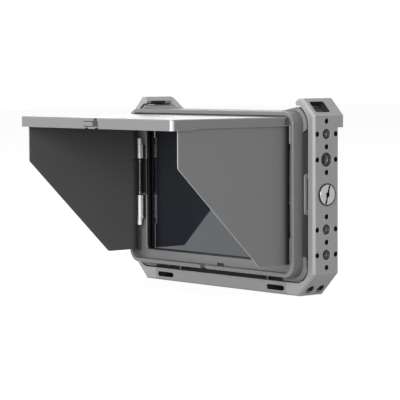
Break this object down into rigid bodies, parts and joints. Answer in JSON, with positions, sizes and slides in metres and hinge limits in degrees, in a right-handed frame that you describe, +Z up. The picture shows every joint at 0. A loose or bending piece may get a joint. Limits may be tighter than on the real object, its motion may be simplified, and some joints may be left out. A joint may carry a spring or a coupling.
{
  "type": "camera field monitor with sun hood",
  "caption": "Field monitor in a machined aluminium cage, with a folding sun hood of a lid and two sprung side flaps.",
  "frame": {"origin": "middle of the bottom rail's threaded hole, on the rail's lower face", "axes": "+X across the screen to the viewer's right, +Y from the viewer to the back, +Z up"},
  "size_m": [0.2066, 0.1464, 0.14],
  "materials": {
    "cage_aluminium": "satin titanium-grey anodised, fine blasted grain",
    "hood_aluminium": "satin titanium-grey anodised sheet",
    "lid_aluminium": "satin titanium-grey anodised sheet",
    "bright_steel": "bright satin steel",
    "coin_screw_steel": "turned and polished steel",
    "dark_steel": "dark spring and screw steel",
    "housing_metal": "dark grey anodised casting",
    "side_panel_plastic": "fine matt texture",
    "block_aluminium": "satin grey anodised",
    "black_rubber": "matt black",
    "grey_rubber": "smooth grey silicone",
    "front_glass": "glossy cover glass with a black border",
    "panel_dark": "switched-off display",
    "white_plastic": "white backlight tray",
    "board_green": "solder mask",
    "black_plastic": "black moulded",
    "bare_aluminium": "extruded fins",
    "socket_metal": "nickel-plated shell",
    "contact_gold": "gold-plated contacts"
  },
  "bodies": {
    "cage_and_monitor": {"side_plate_right": "cage_aluminium", "side_plate_left": "cage_aluminium", "bottom_rail": "cage_aluminium", "rail_screws": "dark_steel", "coin_rings": "black_rubber", "side_pads": "black_rubber", "bottom_studs": "dark_steel", "rail_pad": "black_rubber", "corner_bumpers": "grey_rubber", "front_housing": "housing_metal", "rear_housing": "housing_metal", "front_glass": "front_glass", "lcd_panel": "panel_dark", "backlight_unit": "white_plastic", "main_board": "board_green", "board_chips": "black_plastic", "button_switch": "black_plastic", "heat_sink": "bare_aluminium", "side_panels": "side_panel_plastic", "side_thread_blocks": "block_aluminium", "housing_screws": "dark_steel", "battery_plate": "black_plastic", "battery_contacts": "contact_gold", "latch_spring": "bright_steel", "hdmi_sockets": "socket_metal", "usb_c_socket": "socket_metal", "dc_inlet": "black_plastic", "headphone_socket": "black_plastic", "hood_frame": "hood_aluminium", "hood_screws": "dark_steel", "lid_hinge_brackets": "bright_steel", "lid_hinge_pins": "bright_steel", "left_hinge_bracket": "bright_steel", "right_hinge_bracket": "bright_steel", "left_hinge_pin": "bright_steel", "right_hinge_pin": "bright_steel", "left_hinge_spring": "dark_steel", "right_hinge_spring": "dark_steel"},
    "lid": {"lid": "lid_aluminium", "catch_block": "hood_aluminium", "lid_hinge_eyes": "bright_steel"},
    "left_flap": {"left_flap": "hood_aluminium", "left_hinge_eyes": "bright_steel"},
    "right_flap": {"right_flap": "hood_aluminium", "right_hinge_eyes": "bright_steel"},
    "coin_screw_right": {"coin_screw_right": "coin_screw_steel"},
    "coin_screw_left": {"coin_screw_left": "coin_screw_steel"},
    "power_button": {"power_button": "black_plastic"},
    "battery_latch": {"battery_latch": "side_panel_plastic"}
  },
  "joints": [
    {"name": "lid_hinge", "type": "hinge", "parent": "cage_and_monitor", "child": "lid", "pos_m": [0, -0.0208, 0.1249], "axis": [-1, 0, 0], "range_deg": [0, 15]},
    {"name": "left_flap_hinge", "type": "hinge", "parent": "cage_and_monitor", "child": "left_flap", "pos_m": [-0.0841, -0.0189, 0], "axis": [0, 0, 1], "range_deg": [0, 90], "stiffness_Nm_per_rad": 0.008, "springref_deg": -34.38, "deforming": ["left_hinge_spring"]},
    {"name": "right_flap_hinge", "type": "hinge", "parent": "cage_and_monitor", "child": "right_flap", "pos_m": [0.0841, -0.0189, 0], "axis": [0, 0, -1], "range_deg": [0, 89], "stiffness_Nm_per_rad": 0.008, "springref_deg": -34.38, "deforming": ["right_hinge_spring"]},
    {"name": "coin_screw_right_turn", "type": "hinge", "parent": "cage_and_monitor", "child": "coin_screw_right", "pos_m": [0.102, 0, 0.0724], "axis": [1, 0, 0], "continuous": true},
    {"name": "coin_screw_left_turn", "type": "hinge", "parent": "cage_and_monitor", "child": "coin_screw_left", "pos_m": [-0.102, 0, 0.0724], "axis": [-1, 0, 0], "continuous": true},
    {"name": "power_button_press", "type": "slide", "parent": "cage_and_monitor", "child": "power_button", "axis": [0, -1, 0], "range_m": [0, 0.0008], "stiffness_N_per_m": 400, "springref_m": -0.002},
    {"name": "battery_latch_slide", "type": "slide", "parent": "cage_and_monitor", "child": "battery_latch", "axis": [0, 0, 1], "range_m": [0, 0.0025], "stiffness_N_per_m": 300, "springref_m": -0.003, "deforming": ["latch_spring"]}
  ]
}
